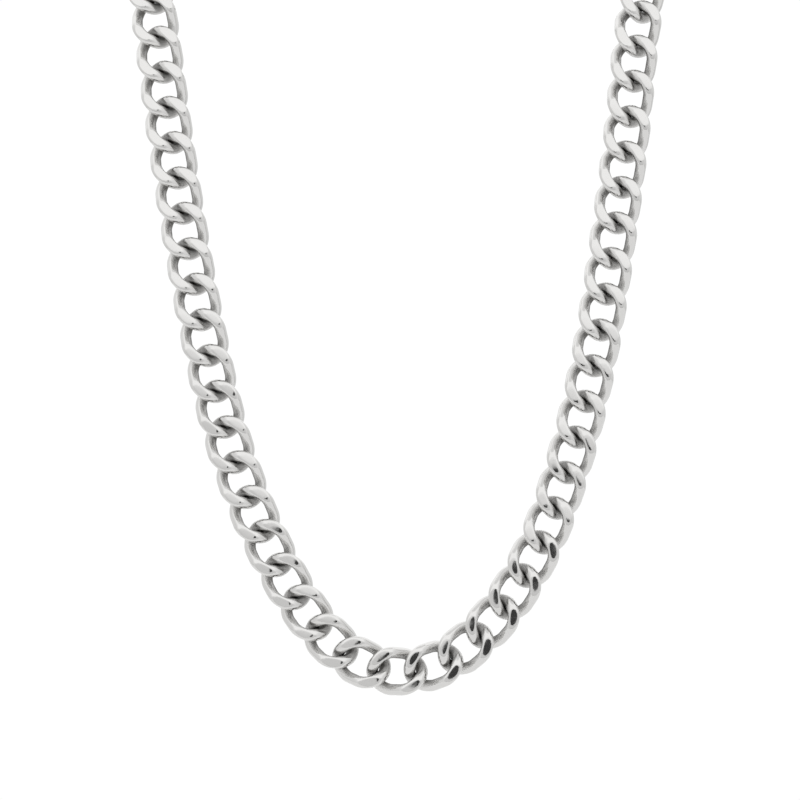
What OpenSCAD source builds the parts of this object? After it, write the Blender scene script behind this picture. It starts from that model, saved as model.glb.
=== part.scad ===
/* [Chain] */
// Length of a link over its ends
link_length = 11.7; // [10.8:0.1:12.6]
// Width of a link
link_width = 9.1; // [8.6:0.1:9.8]
// Thickness of the wire of a link
wire_d = 2.1; // [1.8:0.05:2.2]
// Turn of a link's ends out of the plane of the chain, in degrees
link_twist = 46; // [45:1:50]
// Thickness of the chain over its ground flats
flat_thickness = 4.4; // [4.2:0.1:4.9]
// Play of a link's end in the next link
link_play = 0.35; // [0.3:0.05:0.45]
/* [Jump rings] */
// Thickness of the wire of a jump ring
ring_wire_d = 1.5; // [1.2:0.1:1.8]
// Play of each wire that a jump ring holds
ring_play = 0.3; // [0.25:0.05:0.5]
/* [Clasp] */
// Thickness of the wire of the clasp's loop and eye
clasp_wire_d = 1.8; // [1.5:0.1:2]
// Width of the clasp's loop
clasp_width = 8.6; // [7.5:0.1:9.5]
// Outer diameter of the clasp's eye
eye_d = 6; // [5.4:0.1:6.6]
// Thickness of the clasp's body, which holds the spring
body_d = 2.8; // [2.4:0.1:3.2]
// Length of the clasp's body between its tapers
body_length = 6; // [4:0.5:7]
// Diameter of the thumb piece
thumb_d = 1.4; // [1:0.1:1.8]

/* [Hidden] */
$fn = 48;
STEEL = [0.82, 0.83, 0.84];
TUCK = 0.05;   // how far one stretch of wire runs into the next
HAIR = 0.012;  // how much thinner the wire gets where it runs in

// The way that the chain takes, from the left end of the clasp round the front to its right end.
// The origin is on the nape of the neck, under the clasp.
// Columns: the place that the chain passes, and the way that its ground face looks there.
PLACE = 0;
FACE = 1;
ROUTE = [
    [[-15.0,   2.0,    1.0], [-0.15,  0.85, 0.55]],
    [[-31.0,  -2.0,    2.0], [-0.50,  0.70, 0.60]],
    [[-45.5, -12.0,    2.5], [-0.70,  0.40, 0.65]],
    [[-54.0, -27.0,    2.5], [-0.75,  0.05, 0.70]],
    [[-56.5, -43.0,    0.5], [-0.65, -0.30, 0.70]],
    [[-55.5, -58.5,   -4.0], [-0.45, -0.65, 0.60]],
    [[-51.5, -69.5,  -15.5], [-0.20, -0.90, 0.35]],
    [[-48.5, -74.0,  -32.0], [-0.05, -1.00, 0.15]],
    [[-45.5, -77.0,  -53.0], [ 0.00, -1.00, 0.15]],
    [[-42.0, -80.0,  -74.5], [ 0.00, -1.00, 0.15]],
    [[-38.0, -83.0,  -95.0], [ 0.00, -1.00, 0.15]],
    [[-33.0, -85.5, -115.5], [ 0.00, -1.00, 0.15]],
    [[-25.0, -88.5, -135.5], [ 0.00, -1.00, 0.15]],
    [[-18.0, -90.0, -147.5], [ 0.00, -1.00, 0.15]],
    [[-10.5, -91.5, -155.5], [ 0.00, -1.00, 0.15]],
    [[ -1.0, -92.0, -159.0], [ 0.00, -1.00, 0.15]],
    [[  8.5, -91.5, -157.0], [ 0.00, -1.00, 0.15]],
    [[ 17.5, -90.5, -149.5], [ 0.00, -1.00, 0.15]],
    [[ 25.5, -89.0, -137.5], [ 0.00, -1.00, 0.15]],
    [[ 33.0, -86.0, -117.5], [ 0.00, -1.00, 0.15]],
    [[ 38.0, -83.0,  -97.0], [ 0.00, -1.00, 0.15]],
    [[ 41.5, -80.0,  -76.0], [ 0.00, -1.00, 0.15]],
    [[ 44.5, -77.0,  -55.0], [ 0.00, -1.00, 0.15]],
    [[ 47.0, -74.0,  -33.0], [ 0.05, -1.00, 0.15]],
    [[ 50.0, -69.5,  -16.0], [ 0.20, -0.90, 0.35]],
    [[ 54.0, -58.0,   -5.0], [ 0.45, -0.65, 0.60]],
    [[ 56.0, -43.0,    0.0], [ 0.65, -0.30, 0.70]],
    [[ 52.5, -27.0,    2.0], [ 0.75,  0.05, 0.70]],
    [[ 44.5, -12.0,    2.5], [ 0.70,  0.40, 0.65]],
    [[ 31.0,  -2.0,    2.0], [ 0.50,  0.70, 0.60]],
    [[ 15.0,   2.0,    1.0], [ 0.15,  0.85, 0.55]],
];
END_WAY = [-1, 0, 0];  // the chain leaves the clasp and comes back to it along X
SPAN_STEPS = 12;       // steps that measure the curve between two rows

function unit(v) = v / norm(v);
function square_to(v, way) = unit(v - (v * way) * way);

// The curve through the rows, with a slope at each row that suits the spans on both sides.
last_row = len(ROUTE) - 1;
span = [for (i = [0 : last_row - 1]) norm(ROUTE[i + 1][PLACE] - ROUTE[i][PLACE])];
function pace(i) = (ROUTE[i + 1][PLACE] - ROUTE[i][PLACE]) / span[i];
slope = [for (i = [0 : last_row])
    i == 0 || i == last_row ? END_WAY :
    (span[i] * pace(i - 1) + span[i - 1] * pace(i)) / (span[i - 1] + span[i])];
function on_span(i, u) =
    (2 * u ^ 3 - 3 * u ^ 2 + 1) * ROUTE[i][PLACE]
    + (u ^ 3 - 2 * u ^ 2 + u) * span[i] * slope[i]
    + (3 * u ^ 2 - 2 * u ^ 3) * ROUTE[i + 1][PLACE]
    + (u ^ 3 - u ^ 2) * span[i] * slope[i + 1];
function face_on_span(i, u) = (1 - u) * ROUTE[i][FACE] + u * ROUTE[i + 1][FACE];
function steps_of(i) = [0 : i == last_row - 1 ? SPAN_STEPS : SPAN_STEPS - 1];
trace = [for (i = [0 : last_row - 1], k = steps_of(i)) on_span(i, k / SPAN_STEPS)];
trace_face = [for (i = [0 : last_row - 1], k = steps_of(i)) face_on_span(i, k / SPAN_STEPS)];
last_step = len(trace) - 1;
travel = [for (i = 0, run = 0; i <= last_step;
    run = run + (i < last_step ? norm(trace[i + 1] - trace[i]) : 0), i = i + 1) run];
function table_of(list, axis) = [for (i = [0 : last_step]) [travel[i], list[i][axis]]];
place_tables = [for (axis = [0 : 2]) table_of(trace, axis)];
face_tables = [for (axis = [0 : 2]) table_of(trace_face, axis)];
function place_at(run) = [for (axis = [0 : 2]) lookup(run, place_tables[axis])];
function face_at(run) = [for (axis = [0 : 2]) lookup(run, face_tables[axis])];

// Links stand along the curve at an even pitch, each one straight between two joints.
chain_run = travel[last_step];
link_count = round(chain_run / (link_length - 2 * wire_d - link_play));
pitch = chain_run / link_count;
half_count = floor(link_count / 2);

// The middle line of a link's wire: straight along each side, and one arc to each end.
// X is along the chain, Y across it and Z out of its face. The quarter from one side to one end
// is worked out here, and half turns about X and Z give the others.
end_x = (link_length - wire_d) / 2;
side_y = (link_width - wire_d) / 2;
side_rise = atan(side_y / end_x * tan(link_twist));
side_run = (end_x * cos(side_rise) - side_y * cos(link_twist)) / (1 + sin(side_rise) * sin(link_twist));
side_way = [cos(side_rise), 0, sin(side_rise)];
end_way = [0, cos(link_twist), -sin(link_twist)];
arc_start = [0, -side_y, 0] + side_run * side_way;
arc_end = [end_x, 0, 0];
arc_turn = acos(side_way * end_way);
arc_r = norm(arc_end - arc_start) / (2 * sin(arc_turn / 2));
arc_in = square_to(end_way, side_way);
arc_axis = cross(-arc_in, side_way);
arc_middle = arc_start + arc_r * arc_in;
tuck_turn = TUCK / arc_r * 180 / PI;

// Columns of a turn are where X, Y and Z go, and its last column is where the origin goes.
module stand(x_way, y_way, z_way, origin) {
    multmatrix([for (axis = [0 : 2]) [x_way[axis], y_way[axis], z_way[axis], origin[axis]]])
        children();
}

module end_arc(d, turn) {
    stand(-arc_in, side_way, arc_axis, arc_middle)
        rotate_extrude(angle = turn)
            translate([arc_r, 0])
                circle(d = d);
}

module half_link() {
    translate([0, -side_y, 0])
        rotate([0, 90 - side_rise, 0])
            cylinder(d = wire_d, h = 2 * (side_run + TUCK), center = true);
    end_arc(wire_d - 2 * HAIR, arc_turn + tuck_turn);
    rotate([180, 0, 0])
        end_arc(wire_d - 4 * HAIR, arc_turn);
}

// A twisted oval of round wire, with its front and back ground flat.
module link() {
    intersection() {
        union() {
            half_link();
            rotate([0, 0, 180]) half_link();
        }
        cube([2 * link_length, 2 * link_width, flat_thickness], center = true);
    }
}

module links(first, last) {
    for (i = [first : last]) {
        from = place_at(i * pitch);
        to = place_at((i + 1) * pitch);
        along = unit(to - from);
        out = square_to(face_at((i + 0.5) * pitch), along);
        stand(along, cross(out, along), out, (from + to) / 2) link();
    }
}

module chain_left() {
    color(STEEL) links(0, half_count - 1);
}

module chain_right() {
    color(STEEL) links(half_count, link_count - 1);
}

// The clasp lies in the middle of the gap at the nape, between a jump ring at each end.
// X is along the chain again. The chain's last wire reaches a little past the route's end.
nape_gap = norm(ROUTE[last_row][PLACE] - ROUTE[0][PLACE]);
nape_middle = (ROUTE[last_row][PLACE] + ROUTE[0][PLACE]) / 2;
nape_out = square_to(ROUTE[0][FACE] + ROUTE[last_row][FACE], END_WAY);
chain_end_x = nape_gap / 2 + pitch / 2 - end_x;
ring_inner_d = wire_d + clasp_wire_d + 3 * ring_play;
ring_r = (ring_inner_d + ring_wire_d) / 2;
ring_x = chain_end_x + wire_d / 2 + ring_play + ring_wire_d / 2 - ring_r;
clasp_end_x = chain_end_x - wire_d / 2 - ring_play - clasp_wire_d / 2;

module at_nape() {
    stand([1, 0, 0], cross(nape_out, [1, 0, 0]), nape_out, nape_middle) children();
}

module wire_ring(r, d) {
    rotate_extrude() translate([r, 0]) circle(d = d);
}

// A jump ring leans halfway between square to the clasp and square to the link's twisted end.
module jump_ring(side) {
    at_nape()
        translate([side * ring_x, 0, 0])
            rotate([90 + side * link_twist / 2, 0, 0])
                wire_ring(ring_r, ring_wire_d);
}

module clasp_ring() {
    color(STEEL) jump_ring(-1);
}

module end_ring() {
    color(STEEL) jump_ring(1);
}

// A closed oval loop with a thick side, a thumb piece on it, a short neck and an eye.
loop_r = (clasp_width - clasp_wire_d) / 2;
eye_r = (eye_d - clasp_wire_d) / 2;
eye_x = -clasp_end_x + eye_r;
neck_length = clasp_wire_d;
loop_from_x = eye_x + eye_r + neck_length + loop_r;
loop_to_x = clasp_end_x - loop_r;
body_x = (loop_from_x + loop_to_x) / 2;
taper_length = body_d - clasp_wire_d;

module loop_end(x, side) {
    translate([x, 0, 0])
        rotate([0, 0, side * 90 - 90])
            rotate_extrude(angle = 180, start = -90)
                translate([loop_r, 0])
                    circle(d = clasp_wire_d - 2 * HAIR);
}

module loop_side(y) {
    translate([loop_from_x - TUCK, y, 0])
        rotate([0, 90, 0])
            cylinder(d = clasp_wire_d, h = loop_to_x - loop_from_x + 2 * TUCK);
}

module spring_body() {
    translate([body_x - body_length / 2, -loop_r, 0]) rotate([0, 90, 0]) {
        cylinder(d = body_d, h = body_length);
        translate([0, 0, body_length]) cylinder(d1 = body_d, d2 = clasp_wire_d, h = taper_length);
        translate([0, 0, -taper_length]) cylinder(d1 = clasp_wire_d, d2 = body_d, h = taper_length);
    }
}

module thumb_piece() {
    translate([body_x, -loop_r, 0])
        rotate([90, 0, 0])
            cylinder(d = thumb_d, h = body_d / 2 + thumb_d);
}

module clasp() {
    color(STEEL) at_nape() {
        translate([eye_x, 0, 0]) wire_ring(eye_r, clasp_wire_d);
        translate([eye_x + eye_r, 0, 0]) rotate([0, 90, 0]) cylinder(d = clasp_wire_d, h = neck_length);
        loop_end(loop_from_x, -1);
        loop_end(loop_to_x, 1);
        loop_side(loop_r);
        loop_side(-loop_r);
        spring_body();
        thumb_piece();
    }
}

chain_left();
chain_right();
clasp_ring();
clasp();
end_ring();
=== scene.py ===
"""Curb chain necklace of polished steel, hanging as worn, against plain white."""
from math import acos, atan, cos, pi, radians, sin, tan

import bpy
import numpy as np
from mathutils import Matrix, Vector
from mathutils.bvhtree import BVHTree


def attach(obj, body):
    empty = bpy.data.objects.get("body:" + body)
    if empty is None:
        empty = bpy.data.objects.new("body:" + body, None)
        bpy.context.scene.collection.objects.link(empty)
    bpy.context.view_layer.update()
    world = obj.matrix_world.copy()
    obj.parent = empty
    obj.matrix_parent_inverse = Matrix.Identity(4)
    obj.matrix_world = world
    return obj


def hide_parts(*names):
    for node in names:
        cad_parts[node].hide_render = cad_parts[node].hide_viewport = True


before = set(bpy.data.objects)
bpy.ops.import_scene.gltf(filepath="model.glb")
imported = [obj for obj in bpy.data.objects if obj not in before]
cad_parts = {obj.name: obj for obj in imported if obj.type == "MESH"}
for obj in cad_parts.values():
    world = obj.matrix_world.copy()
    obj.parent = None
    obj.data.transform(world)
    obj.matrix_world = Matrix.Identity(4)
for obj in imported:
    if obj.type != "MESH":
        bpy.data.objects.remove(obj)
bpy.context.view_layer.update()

MM = 0.001
SEED = 15222

# A link, in millimetres. Its X runs along the chain, its Y across it and its Z out of its face.
LINK_LENGTH = 11.7
LINK_WIDTH = 9.1
WIRE = 2.1
TWIST = radians(46)        # how steeply the wire crosses the chain's plane at the link's ends
PITCH = 7.17               # from one link's middle to the next one's
MIDDLE_END = (LINK_LENGTH - WIRE) / 2
MIDDLE_SIDE = (LINK_WIDTH - WIRE) / 2

# How pressing, grinding and wear changed the round wire
THICKNESS = 4.2            # over the faces, less than the part's, because their edges are soft
WIRE_FULL = 1.01           # the wire's thickness over its nominal one
PRESS_WIDE = 0.04          # how much wider the wire is under the ground faces
PRESS_FROM = 0.35          # where the pressing begins, as a share of the middle line's top height
FACE_SOFT = 0.09           # how far polishing rounded the edges of a ground face
FACE_CROWN = 0.012         # share of the wire's roundness left on a ground face
FACE_DOME = 0.0064         # how much a face slopes across the chain, for each millimetre outwards
FACE_TILT = 0.018          # most that a link's ground faces slope, along and across
END_GAP = -0.10            # space between neighbours where they bear on each other: less than none
END_FROM = 0.64            # where a link's end begins, as a share of its half length
END_USUAL = 0.14           # how far ends grow inwards in the link that the layers are measured on
NEAR_LINK = 1.4            # links closer than this many pitches are neighbours

# The mesh of a link
RINGS = 64                 # cross-sections along the wire
SIDES = 42                 # points round a cross-section
FINE_STEPS = 1000          # points that find the middle line's greatest height
PROBE = 0.0005             # step that finds the surface's direction
LINK_APART = 100           # distance between the links in the places that the noise is read at

# How hidden each point of a link is
SKY_RAYS = 96              # directions in which a point is tested for what stands over it
SKY_LIFT = 1.001           # keeps them all over the surface
SKY_START = 0.02           # how far over it they start
SKY_FAR = 14.0             # and how far they reach
SKY_LINKS = (-2, -1, 0, 1, 2)  # the links that can stand over it, counted along the chain
SOFTENINGS = 2             # times that the shares are evened out over the mesh
INSIDE = 0.60              # how much more hidden what looks into the link's opening counts: more painted shade, less polish
CONTACT_REACH = 1.0        # how near the next link's wire the painted shade where links meet reaches


# The middle line of a link's wire

def steps(count):
    """The middles of equal parts of the span from 0 to 1."""
    return (np.arange(count) + 0.5) / count


def quarter_line():
    """A quarter of the middle line, from a side to an end: a straight stretch, then an arc.

    Gives the start, the stretch's length and way, the way that the arc turns, its radius and angle.
    """
    rise = atan(MIDDLE_SIDE / MIDDLE_END * tan(TWIST))
    run = (MIDDLE_END * cos(rise) - MIDDLE_SIDE * cos(TWIST)) / (1 + sin(rise) * sin(TWIST))
    side_way = np.array([cos(rise), 0, sin(rise)])
    end_way = np.array([0, cos(TWIST), -sin(TWIST)])
    start = np.array([0, -MIDDLE_SIDE, 0])
    turn = acos(side_way @ end_way)
    chord = np.array([MIDDLE_END, 0, 0]) - start - run * side_way
    radius = np.linalg.norm(chord) / (2 * sin(turn / 2))
    inwards = end_way - (end_way @ side_way) * side_way
    return start, run, side_way, inwards / np.linalg.norm(inwards), radius, turn


def middle_line(shares):
    """Points and directions on the middle line, at the given shares of its length from one side."""
    start, run, side_way, inwards, radius, turn = quarter_line()
    quarter = run + radius * turn
    travel = np.asarray(shares) % 1 * 4 * quarter
    which = np.minimum(travel // quarter, 3).astype(int)
    part = travel - which * quarter
    backwards = which % 2 == 1
    part = np.where(backwards, quarter - part, part)[:, None]
    angle = np.clip(part - run, 0, None) / radius
    place = start + np.minimum(part, run) * side_way
    place = place + radius * (np.sin(angle) * side_way + (1 - np.cos(angle)) * inwards)
    way = np.cos(angle) * side_way + np.sin(angle) * inwards
    way[backwards] *= -1
    half_turns = np.array([[1, 1, 1], [1, -1, -1], [-1, -1, 1], [-1, 1, -1]])[which]
    return place * half_turns, way * half_turns


ANGLES = 2 * pi * steps(SIDES)
MIDDLE_TOP = middle_line(steps(FINE_STEPS))[0][:, 2].max()


# The surface of a link

def smooth_step(x):
    x = np.clip(x, 0, 1)
    return x * x * (3 - 2 * x)


def ground(height):
    """Heights over the chain's plane after grinding. The face gets soft edges and a faint crown."""
    over = FACE_SOFT * np.logaddexp(0, (np.abs(height) - THICKNESS / 2) / FACE_SOFT)
    return height - np.sign(height) * over * (1 - FACE_CROWN)


def cross_section_ways(way):
    """The level direction and the rising one across the wire."""
    level = np.cross([0, 0, 1], way)
    level /= np.linalg.norm(level, axis=1)[:, None]
    return level, np.cross(way, level)


def wire_points(shares, angle, tilt, grown):
    """Points on the wire's surface, cross-section by cross-section."""
    place, way = middle_line(shares)
    level, rising = cross_section_ways(way)
    height = np.abs(place[:, 2]) / MIDDLE_TOP
    pressed = smooth_step((height - PRESS_FROM) / (1 - PRESS_FROM))[:, None]
    wide = WIRE_FULL * WIRE / 2 * (1 + PRESS_WIDE * pressed) * np.cos(angle)
    high = WIRE_FULL * WIRE / 2 * np.sin(angle)
    inwards = -np.sign((level * place * [1, 1, 0]).sum(axis=1))[:, None]
    at_end = smooth_step((np.abs(place[:, 0]) / MIDDLE_END - END_FROM) / (1 - END_FROM))
    growth = at_end * np.where(place[:, 0] < 0, grown[0], grown[1])
    wide += inwards * growth[:, None] * np.clip(inwards * np.cos(angle), 0, 1) ** 2
    points = place[:, None] + wide[..., None] * level[:, None] + high[..., None] * rising[:, None]
    slope = points[..., 0] * tilt[0] + points[..., 1] * tilt[1]
    slope += np.sign(points[..., 2]) * FACE_DOME * points[..., 1] ** 2 / 2
    points[..., 2] = ground(points[..., 2] + slope) - slope
    return points


def link_surface(tilt=(0, 0), grown=(END_USUAL, END_USUAL)):
    """A grid of points on a link, and its outward directions there.

    Tilt is the slope of its ground faces, along and across. Grown is how far the inner sides of its
    two ends have grown inwards.
    """
    shares = steps(RINGS)
    ahead = wire_points(shares + PROBE, ANGLES, tilt, grown)
    behind = wire_points(shares - PROBE, ANGLES, tilt, grown)
    over = wire_points(shares, ANGLES + PROBE, tilt, grown)
    under = wire_points(shares, ANGLES - PROBE, tilt, grown)
    out = np.cross(over - under, ahead - behind)
    out /= np.linalg.norm(out, axis=2)[..., None]
    return wire_points(shares, ANGLES, tilt, grown), out


def grid_faces():
    """The quads of a link's grid, which is closed both ways."""
    ring, side = np.meshgrid(np.arange(RINGS), np.arange(SIDES), indexing="ij")
    next_ring, next_side = (ring + 1) % RINGS, (side + 1) % SIDES
    corners = [ring * SIDES + side, ring * SIDES + next_side,
               next_ring * SIDES + next_side, next_ring * SIDES + side]
    return np.stack(corners, axis=-1).reshape(-1, 4)


# How hidden each point of a link is

def even_ball(count):
    """Directions spread evenly all round."""
    turn = np.arange(count) * pi * (3 - 5 ** 0.5)
    up = 1 - 2 * (np.arange(count) + 0.5) / count
    level = np.sqrt(1 - up ** 2)
    return np.stack([level * np.cos(turn), level * np.sin(turn), up], axis=1)


def recess():
    """How hidden each point of a link is, which darkens it with painted shade and lets polishing
    reach it less.

    It is the share of the space over the point that this link and its neighbours take up, and more
    where the surface looks into the link's opening.
    """
    points, out = (grid.reshape(-1, 3) for grid in link_surface())
    faces = grid_faces().tolist()
    walls = [BVHTree.FromPolygons((points + [step * PITCH, 0, 0]).tolist(), faces)
             for step in SKY_LINKS]
    ball = even_ball(SKY_RAYS)
    shares = []
    for place, way in zip(points, out):
        rays = ball + SKY_LIFT * way
        rays /= np.linalg.norm(rays, axis=1)[:, None]
        start = Vector(place + SKY_START * way)
        hits = [any(wall.ray_cast(start, Vector(ray), SKY_FAR)[0] for wall in walls)
                for ray in rays]
        shares.append(sum(hits) / SKY_RAYS)
    shares = np.array(shares).reshape(RINGS, SIDES)
    for _ in range(SOFTENINGS):
        for axis in (0, 1):
            shares = (2 * shares + np.roll(shares, 1, axis) + np.roll(shares, -1, axis)) / 4
    inwards = -(points[:, :2] * out[:, :2]).sum(axis=1) / np.linalg.norm(points[:, :2], axis=1)
    return shares.ravel() + INSIDE * np.clip(inwards, 0, 1) ** 2


def contact():
    """How near the next links' wires each point of a link is, from 0 to 1."""
    line = middle_line(steps(2 * RINGS))[0]
    flat = link_surface()[0].reshape(-1, 1, 3)
    gaps = [np.linalg.norm(flat - line - [step * PITCH, 0, 0], axis=2).min(axis=1)
            for step in (-1, 1)]
    return 1 - np.clip((np.minimum(*gaps) - WIRE / 2) / CONTACT_REACH, 0, 1)


# Where the links are, read from the frame

def triangles_of(node):
    """A node's corner places, in millimetres, and the corners of its triangles."""
    mesh = node.data
    mesh.calc_loop_triangles()
    places = np.empty(3 * len(mesh.vertices))
    mesh.vertices.foreach_get("co", places)
    corners = np.empty(3 * len(mesh.loop_triangles), int)
    mesh.loop_triangles.foreach_get("vertices", corners)
    return places.reshape(-1, 3) / MM, corners.reshape(-1, 3)


def solids_of(node):
    """The corner places of each separate solid's triangles.

    Each corner starts with a label of its own, and the lowest spreads over all that hangs together.
    """
    places, corners = triangles_of(node)
    merged = np.unique(np.round(places, 3), axis=0, return_inverse=True)[1].reshape(-1)
    corners_merged = merged[corners]
    label = np.arange(merged.max() + 1)
    changed = True
    while changed:
        lowest = label[corners_merged].min(axis=1)
        spread = label.copy()
        for k in range(3):
            np.minimum.at(spread, corners_merged[:, k], lowest)
        spread = spread[spread]
        changed = (spread != label).any()
        label = spread
    owner = label[corners_merged[:, 0]]
    return [places[corners[owner == name]] for name in np.unique(owner)]


def pose_of(triangles):
    """A link's middle and its directions: along the chain, across it and out of its face."""
    middles = triangles.mean(axis=1)
    sides = triangles[:, 1:] - triangles[:, :1]
    area = np.linalg.norm(np.cross(sides[:, 0], sides[:, 1]), axis=1)
    centre = (middles * area[:, None]).sum(axis=0) / area.sum()
    spread = ((middles - centre) * area[:, None]).T @ (middles - centre)
    ways = np.linalg.eigh(spread)[1]
    along, across = ways[:, 2], ways[:, 1]
    return centre, np.stack([along, across, np.cross(along, across)], axis=1)


def chain_poses(node_name):
    """The poses of a node's links, from the one nearest the clasp to the one at the bottom."""
    waiting = [pose_of(solid) for solid in solids_of(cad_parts[node_name])]
    ordered = [min(waiting, key=lambda pose: np.linalg.norm(pose[0]))]
    while len(waiting) > 1:
        waiting = [pose for pose in waiting if pose is not ordered[-1]]
        ordered.append(min(waiting, key=lambda pose: np.linalg.norm(pose[0] - ordered[-1][0])))
    return ordered


# The meshes of the chain

def growths(poses, others):
    """How far each link's two ends grow inwards, so that it bears on its neighbours.

    Others are the poses of the other node's links, because the chain's two halves meet.
    """
    line = middle_line(steps(RINGS))[0]
    grown = []
    for centre, ways in poses:
        pair = [0, 0]
        for other, other_ways in poses + others:
            apart = np.linalg.norm(other - centre)
            if 0 < apart < NEAR_LINK * PITCH:
                own_line = (line @ ways.T + centre)[:, None]
                wires = np.linalg.norm(own_line - (line @ other_ways.T + other), axis=2)
                forwards = (other - centre) @ ways[:, 0] > 0
                pair[int(forwards)] = max(0, wires.min() - WIRE * WIRE_FULL - END_GAP) / 2
        grown.append(pair)
    return grown


def chain_mesh(name, poses, others, layers, rng):
    """One mesh of all the links of a node, with the layers that its material reads."""
    faces = grid_faces()
    places, quads, own_places, outs = [], [], [], []
    for number, ((centre, ways), grown) in enumerate(zip(poses, growths(poses, others))):
        tilt = rng.uniform(-FACE_TILT, FACE_TILT, 2)
        points, out = (grid.reshape(-1, 3) for grid in link_surface(tilt, grown))
        places.append(points @ ways.T + centre)
        quads.append(faces + number * len(points))
        own_places.append(points + [0, 0, number * LINK_APART])
        outs.append(out @ ways.T)
    mesh = bpy.data.meshes.new(name)
    mesh.from_pydata(np.concatenate(places) * MM, [], np.concatenate(quads).tolist())
    for layer, values in layers.items():
        attribute = mesh.attributes.new(layer, "FLOAT", "POINT")
        attribute.data.foreach_set("value", np.tile(values, len(poses)).astype(np.float32))
    attribute = mesh.attributes.new("link_place", "FLOAT_VECTOR", "POINT")
    attribute.data.foreach_set("vector", np.concatenate(own_places).astype(np.float32).ravel())
    mesh.shade_smooth()
    mesh.normals_split_custom_set_from_vertices(np.concatenate(outs))
    return mesh


def chain_piece(node_name, mesh, material):
    piece = bpy.data.objects.new(mesh.name, mesh)
    bpy.context.scene.collection.objects.link(piece)
    mesh.materials.append(material)
    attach(piece, "root")
    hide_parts(node_name)


# Materials

STEEL = (0.66, 0.655, 0.645, 1)
# painted shade: the steel's colour where it is hidden inside the links
SHADED_STEEL = (0.160, 0.156, 0.148, 1)
# painted shade, near black, in the crevices between links and in the clasp's seams and slot
CREVICE_SHADE = (0.012, 0.011, 0.010, 1)
RELIEF = 0.00003             # metres for a height of 1
SCRATCH_STRETCH = (0.1, 1, 1)
# Noise: its scale for each millimetre, and its detail
CLOUDS = (0.9, 3.0)
SCRATCHES = (14.0, 4.0)
GRAIN = (6.0, 5.0)
CLOUD_SPAN = (0.3, 0.7)      # where the clouds go from the finest polish to the roughest

CLOUD_SWAY = 0.25            # how far the clouds move the edges of the dull places with painted shade and of the painted shade where links meet
DULL_AND_SHADE_SPAN = (0.48, 0.98)     # where painted shade darkens the steel and its relief gets grainy, by how hidden it is
SATIN_SPAN = (0.12, 0.50)    # and where it gets rough
CONTACT_SHADE_SPAN = (0.45, 0.85)    # where the painted shade between links begins and is full, by how near the next wire is
CHAIN_POLISH = (0.03, 0.09)  # the finest and the roughest polish, as roughness
DULL_ROUGHNESS = 0.5
GRAIN_HEIGHT = 0.15          # relief of the dull places
CHAIN_SCRATCHES = 0.009      # relief of the scratches

# The clasp and its rings, in millimetres from the part's origin
CLASP_OUT = (0, 0.8396, 0.5433)         # the way that the clasp's flat side looks, off the neck
CLASP_UP = (0, -0.5433, 0.8396)         # the way that its thumb piece stands
CLASP_MIDDLE = 2.2                      # how far along CLASP_OUT the clasp's middle plane lies
SEAMS = (-12.73, 0.5, 5.5, 7.7, 12.73)  # along X: the rings' ends, the spring's housing, the bolt
SEAM_SPAN = (0.03, 0.10)                # from the bottom of a seam to its edge
SEAM_OVER = (2.0, 2.1)                  # grooves lie over this height
SLOT_MIDDLE = 3.0                       # the thumb piece's slot, along X
SLOT_LENGTH = (1.5, 1.6)                # its half length, and where its edge ends
SLOT_WIDTH = (0.3, 0.4)                 # its half width, and where its edge ends
SLOT_LOW = (4.0, 4.05)                  # where its low edge begins and ends, along CLASP_UP
SLOT_HIGH = (4.6, 4.65)                 # and its high edge
CLASP_POLISH = (0.05, 0.14)
GROOVE_ROUGHNESS = 0.6
CLASP_SCRATCHES = 0.012
FALLING = (1.0, 0.0)                    # levels of a ramp that goes down


class Nodes:
    """Adds nodes to a material or world. A value that is a node stands for its first output."""

    def __init__(self, owner):
        owner.use_nodes = True
        self.tree = owner.node_tree
        self.tree.nodes.clear()

    def add(self, kind, values=None, **settings):
        node = self.tree.nodes.new(kind)
        for name, value in settings.items():
            setattr(node, name, value)
        for name, value in (values or {}).items():
            if isinstance(value, bpy.types.Node):
                value = value.outputs[0]
            if isinstance(value, bpy.types.NodeSocket):
                self.tree.links.new(value, node.inputs[name])
            else:
                node.inputs[name].default_value = value
        return node

    def math(self, operation, first, second=0.0):
        return self.add("ShaderNodeMath", {0: first, 1: second}, operation=operation)

    def product(self, first, second):
        return self.math("MULTIPLY", first, second)

    def away(self, value, place):
        """How far a value is from a place."""
        return self.math("ABSOLUTE", self.math("SUBTRACT", value, place))

    def towards(self, where, way):
        """How far a place or a direction reaches in a direction."""
        node = self.add("ShaderNodeVectorMath", {0: where, 1: way}, operation="DOT_PRODUCT")
        return node.outputs["Value"]

    def ramp(self, value, span, levels=(0.0, 1.0)):
        """Goes smoothly from one level to the other while the value goes through the span."""
        values = {"Value": value, "From Min": span[0], "From Max": span[1],
                  "To Min": levels[0], "To Max": levels[1]}
        return self.add("ShaderNodeMapRange", values, interpolation_type="SMOOTHSTEP")

    def mix(self, share, first, second):
        return self.add("ShaderNodeMix", {0: share, 2: first, 3: second})

    def mix_colour(self, share, first, second):
        values = {0: share, 6: first, 7: second}
        return self.add("ShaderNodeMix", values, data_type="RGBA").outputs[2]

    def layer(self, name):
        return self.add("ShaderNodeAttribute", attribute_name=name).outputs["Fac"]

    def noise(self, where, scale, detail):
        return self.add("ShaderNodeTexNoise", {"Vector": where, "Scale": scale, "Detail": detail})

    def scratches(self, where):
        stretched = self.add("ShaderNodeMapping", {"Vector": where, "Scale": SCRATCH_STRETCH})
        return self.noise(stretched, *SCRATCHES)

    def steel(self, colour, roughness, height):
        """A bare metal surface with fine relief."""
        bump = self.add("ShaderNodeBump", {"Height": height, "Strength": 1.0, "Distance": RELIEF})
        shader = self.add("ShaderNodeBsdfPrincipled", {
            "Base Color": colour, "Roughness": roughness, "Normal": bump, "Metallic": 1.0})
        self.add("ShaderNodeOutputMaterial", {"Surface": shader})


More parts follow.
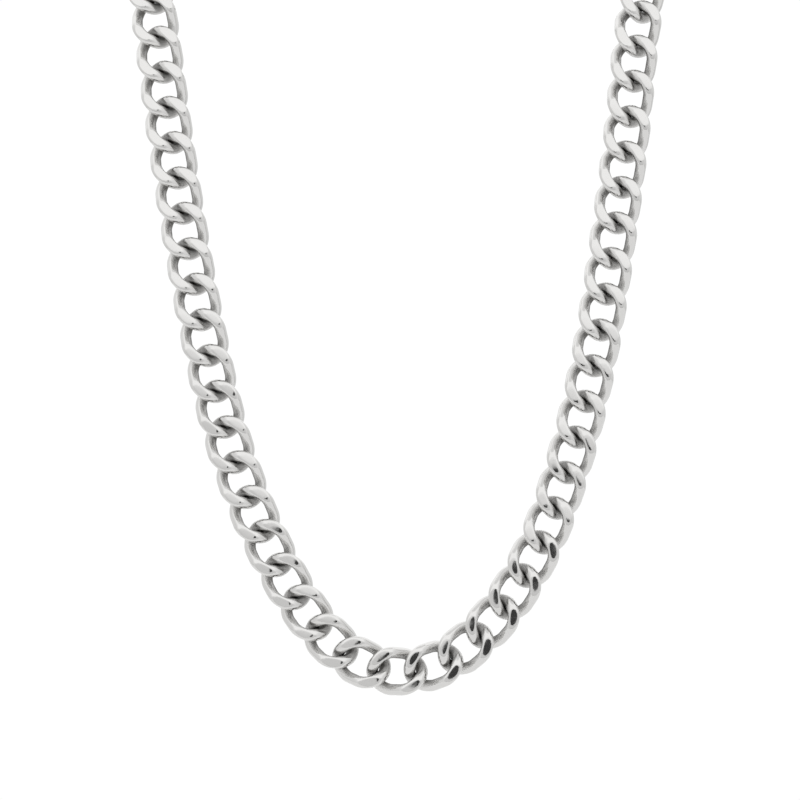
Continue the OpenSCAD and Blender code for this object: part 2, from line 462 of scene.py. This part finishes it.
def chain_steel():
    """Polished, scratched steel: dull inside the links and darkened there with painted shade, and
    painted near-black shade where they meet.
    """
    material = bpy.data.materials.new("chain_steel")
    nodes = Nodes(material)
    where = nodes.add("ShaderNodeAttribute", attribute_name="link_place").outputs["Vector"]
    clouds = nodes.noise(where, *CLOUDS)
    uneven = nodes.product(nodes.math("SUBTRACT", clouds, 0.5), CLOUD_SWAY)
    hidden = nodes.math("ADD", nodes.layer("recess"), uneven)
    # painted shade: the steel darkens where the links hide it from the tent's light
    dull_and_shaded = nodes.ramp(hidden, DULL_AND_SHADE_SPAN)
    satin = nodes.ramp(hidden, SATIN_SPAN)
    # painted shade, near black, where the links meet and hide each other
    contact_shade = nodes.ramp(nodes.math("ADD", nodes.layer("contact"), uneven), CONTACT_SHADE_SPAN)
    colour = nodes.mix_colour(contact_shade, nodes.mix_colour(dull_and_shaded, STEEL, SHADED_STEEL), CREVICE_SHADE)
    polish = nodes.ramp(clouds, CLOUD_SPAN, CHAIN_POLISH)
    grain = nodes.product(nodes.product(nodes.noise(where, *GRAIN), dull_and_shaded), GRAIN_HEIGHT)
    height = nodes.math("ADD", nodes.product(nodes.scratches(where), CHAIN_SCRATCHES), grain)
    nodes.steel(colour, nodes.mix(satin, polish, DULL_ROUGHNESS), height)
    return material


def clasp_steel():
    """The same steel, with the seams between the clasp's parts and the slot of its thumb piece,
    painted near black with shade.
    """
    material = bpy.data.materials.new("clasp_steel")
    nodes = Nodes(material)
    metres = nodes.add("ShaderNodeTexCoord").outputs["Object"]
    scaled = nodes.add("ShaderNodeVectorMath", {0: metres, 3: 1 / MM}, operation="SCALE")
    where = scaled.outputs["Vector"]
    split = nodes.add("ShaderNodeSeparateXYZ", {"Vector": where})
    along, above = split.outputs["X"], split.outputs["Z"]
    up = nodes.towards(where, CLASP_UP)
    from_plane = nodes.away(nodes.towards(where, CLASP_OUT), CLASP_MIDDLE)
    slot = nodes.product(nodes.ramp(nodes.away(along, SLOT_MIDDLE), SLOT_LENGTH, FALLING),
                         nodes.ramp(from_plane, SLOT_WIDTH, FALLING))
    slot = nodes.product(slot, nodes.ramp(up, SLOT_LOW))
    groove = nodes.product(slot, nodes.ramp(up, SLOT_HIGH, FALLING))
    for place in SEAMS:
        seam = nodes.ramp(nodes.away(along, place), SEAM_SPAN, FALLING)
        groove = nodes.math("MAXIMUM", groove, seam)
    groove = nodes.product(groove, nodes.ramp(above, SEAM_OVER))
    polish = nodes.ramp(nodes.noise(where, *CLOUDS), CLOUD_SPAN, CLASP_POLISH)
    roughness = nodes.mix(groove, polish, GROOVE_ROUGHNESS)
    height = nodes.math("SUBTRACT", nodes.product(nodes.scratches(where), CLASP_SCRATCHES), groove)
    # painted shade: the seams and the slot are coloured near black as if shaded inside
    nodes.steel(nodes.mix_colour(groove, STEEL, CREVICE_SHADE), roughness, height)
    return material


# The studio: a white tent over a pale floor. Its front wall is dimmer and has a dark opening, and
# so has its back wall, turned about. Spans are those of a direction's X, Y or Z.
TENT = 1.25                  # the tent's light
TENT_SIDES = 0.92            # its light at the far left and right
SIDES_SPAN = (0.45, 0.95)
TENT_LOW = 0.72              # the share of it that is left near the floor
LOW_SPAN = (-0.75, 0.1)
TENT_RIDGE = 0.75            # the share at the roof's ridge
RIDGE_SPAN = (0.86, 0.97)
TENT_FRONT = 0.66            # the share at the front wall and the back wall
FRONT_SPAN = (0.55, 0.93)
ROOF_SPAN = (0.18, 0.36)     # from those walls' tops to the roof's full light
OPENING_WAY = (0.0688, -0.9836, 0.1668)
OPENING_SPAN = (cos(radians(4.8)), cos(radians(4.4)))  # from its edge to where it is dark
OPENING_LIGHT = 0.07
BACKGROUND = 1.02            # the white that the camera sees
FLOOR_Z = -0.30
FLOOR_SIZE = 1.1
FLOOR_COLOUR = (0.9, 0.9, 0.9, 1)
FLOOR_ROUGHNESS = 0.8


def tent():
    world = bpy.data.worlds.new("tent")
    bpy.context.scene.world = world
    nodes = Nodes(world)
    way = nodes.add("ShaderNodeTexCoord").outputs["Generated"]
    split = nodes.add("ShaderNodeSeparateXYZ", {"Vector": way})
    sides = nodes.ramp(nodes.math("ABSOLUTE", split.outputs["X"]), SIDES_SPAN, (TENT, TENT_SIDES))
    low = nodes.ramp(split.outputs["Z"], LOW_SPAN, (TENT_LOW, 1.0))
    ridge = nodes.ramp(split.outputs["Z"], RIDGE_SPAN, (1.0, TENT_RIDGE))
    under_roof = nodes.ramp(split.outputs["Z"], ROOF_SPAN, (TENT_FRONT, 1.0))
    at_front = nodes.ramp(nodes.math("ABSOLUTE", split.outputs["Y"]), FRONT_SPAN)
    front = nodes.mix(at_front, 1.0, under_roof)
    opening = nodes.ramp(nodes.math("ABSOLUTE", nodes.towards(way, OPENING_WAY)), OPENING_SPAN,
                         (1.0, OPENING_LIGHT))
    walls = nodes.product(sides, nodes.product(low, ridge))
    light = nodes.product(walls, nodes.product(front, opening))
    seen = nodes.add("ShaderNodeLightPath").outputs["Is Camera Ray"]
    strength = nodes.mix(seen, light, BACKGROUND)
    background = nodes.add("ShaderNodeBackground", {"Color": (1, 1, 1, 1), "Strength": strength})
    nodes.add("ShaderNodeOutputWorld", {"Surface": background})


def pale_floor():
    bpy.ops.mesh.primitive_plane_add(size=FLOOR_SIZE, location=(0, 0, FLOOR_Z))
    floor = bpy.context.object
    floor.name = "floor"
    material = bpy.data.materials.new("floor")
    nodes = Nodes(material)
    shader = nodes.add("ShaderNodeBsdfPrincipled", {
        "Base Color": FLOOR_COLOUR, "Roughness": FLOOR_ROUGHNESS})
    nodes.add("ShaderNodeOutputMaterial", {"Surface": shader})
    floor.data.materials.append(material)


# The camera: level, 450 mm in front of the strands where they leave the picture
CAMERA_PLACE = (0, -0.5345, -0.107)
FRAME_PX = 800
FOCAL_PX = 2327.3
SENSOR = 36
CLIP_START = 0.01


def camera():
    data = bpy.data.cameras.new("camera")
    data.sensor_width = SENSOR
    data.lens = FOCAL_PX * SENSOR / FRAME_PX
    data.clip_start = CLIP_START
    thing = bpy.data.objects.new("camera", data)
    thing.location = CAMERA_PLACE
    thing.rotation_euler = (pi / 2, 0, 0)
    bpy.context.scene.collection.objects.link(thing)
    bpy.context.scene.camera = thing


camera()
tent()
pale_floor()
bpy.context.scene.view_settings.view_transform = "Standard"

rng = np.random.default_rng(SEED)
steel = chain_steel()
layers = {"recess": recess(), "contact": contact()}
left, right = chain_poses("chain_left"), chain_poses("chain_right")
chain_piece("chain_left", chain_mesh("chain_left_links", left, right, layers, rng), steel)
chain_piece("chain_right", chain_mesh("chain_right_links", right, left, layers, rng), steel)
plain_steel = clasp_steel()
for node_name in ("clasp_ring", "clasp", "end_ring"):
    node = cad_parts[node_name]
    node.data.materials.clear()
    node.data.materials.append(plain_steel)
    node.data.shade_smooth()
